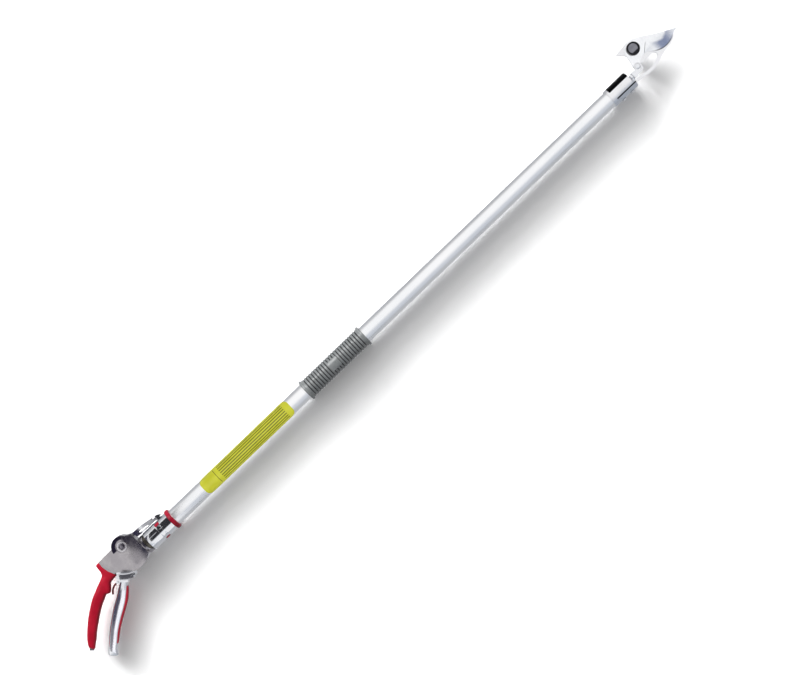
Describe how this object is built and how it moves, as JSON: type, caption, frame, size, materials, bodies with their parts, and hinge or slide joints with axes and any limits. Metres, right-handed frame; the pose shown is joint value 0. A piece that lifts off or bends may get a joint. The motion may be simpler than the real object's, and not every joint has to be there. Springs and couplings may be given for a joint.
{
  "type": "tree pruner pole",
  "caption": "Long reach tree pruner: an aluminium pole with a squeeze lever handle on a swivel at one end and a bypass blade with a hook plate at the other",
  "frame": {"origin": "on the tube's axis, halfway along the tube", "axes": "+X along the tube towards the blade, +Y towards the side that the lever's and the blade's pivots stand on, +Z square to the blade, towards the heads of both pivot bolts"},
  "size_m": [1.2247, 0.1282, 0.034],
  "materials": {
    "blade_steel": "ground and polished",
    "bolt_dark": "blackened",
    "bronze": "dark bronze",
    "bush_red": "moulded",
    "catch_red": "dark red coat",
    "chrome_plate": "polished",
    "coat_red": "dipped, satin",
    "film_yellow": "satin film",
    "grip_rubber": "matt moulded",
    "handle_alloy": "polished casting",
    "nylon": "moulded",
    "plain_steel": "turned",
    "plug_alloy": "turned",
    "spring_steel": "bright wire",
    "strip_red": "moulded, satin",
    "tube_aluminium": "drawn, bright"
  },
  "bodies": {
    "pole": {"pole_tube": "tube_aluminium", "ribbed_grip": "grip_rubber", "label_band": "film_yellow", "socket_bush": "bush_red", "socket_sleeve": "chrome_plate", "swivel_ring": "bronze", "inner_stop": "plain_steel", "spring_stop": "plain_steel", "rod_guides": "nylon", "latch_bracket": "chrome_plate", "latch_pin": "plain_steel", "latch_spring": "spring_steel", "return_spring": "spring_steel", "head_plug": "plug_alloy", "head_frame": "chrome_plate", "ferrule_cap": "chrome_plate", "saddle_screws": "plain_steel", "cap_screws": "plain_steel", "blade_bolt": "bolt_dark", "blade_nut": "plain_steel", "blade_washer": "plain_steel"},
    "latch": {"swivel_latch": "chrome_plate"},
    "handle": {"swivel_spigot": "plain_steel", "handle_body": "handle_alloy", "handle_coat": "coat_red", "pivot_bolt": "chrome_plate", "pivot_nut": "chrome_plate"},
    "lever": {"lever": "chrome_plate", "lever_pad": "strip_red", "catch_pin": "plain_steel"},
    "catch": {"catch_hook": "catch_red"},
    "rod": {"pull_rod": "plain_steel", "rod_spool": "plain_steel", "spring_collar": "plain_steel", "rod_lock_nut": "chrome_plate", "rod_eye": "chrome_plate"},
    "blade": {"blade": "blade_steel", "link_pin": "plain_steel"}
  },
  "joints": [
    {"name": "handle_swivel", "type": "hinge", "parent": "pole", "child": "handle", "pos_m": [-0.4787, 0, 0], "axis": [1, 0, 0], "range_deg": [-90, 90]},
    {"name": "lever_hinge", "type": "hinge", "parent": "handle", "child": "lever", "pos_m": [-0.5075, 0.0215, 0], "axis": [0, 0, 1], "range_deg": [0, 30]},
    {"name": "catch_hinge", "type": "hinge", "parent": "lever", "child": "catch", "pos_m": [-0.547, -0.0112, 0], "axis": [0, 0, 1], "range_deg": [0, 8]},
    {"name": "rod_slide", "type": "slide", "parent": "pole", "child": "rod", "axis": [1, 0, 0], "range_m": [0, 0.01075], "deforming": ["return_spring"]},
    {"name": "blade_hinge", "type": "hinge", "parent": "pole", "child": "blade", "pos_m": [0.51, 0.029, 0], "axis": [0, 0, 1], "range_deg": [0, 25.3]},
    {"name": "latch_hinge", "type": "hinge", "parent": "pole", "child": "latch", "pos_m": [-0.446, 0.0169, 0], "axis": [0, 0, 1], "range_deg": [-12, 0], "stiffness_Nm_per_rad": 0.02, "springref_deg": 20.05, "deforming": ["latch_spring"]}
  ],
  "couplings": [
    {"joint": "rod_slide", "follows": "lever_hinge", "m_per_rad": 0.02053},
    {"joint": "blade_hinge", "follows": "lever_hinge", "ratio": 0.843}
  ]
}
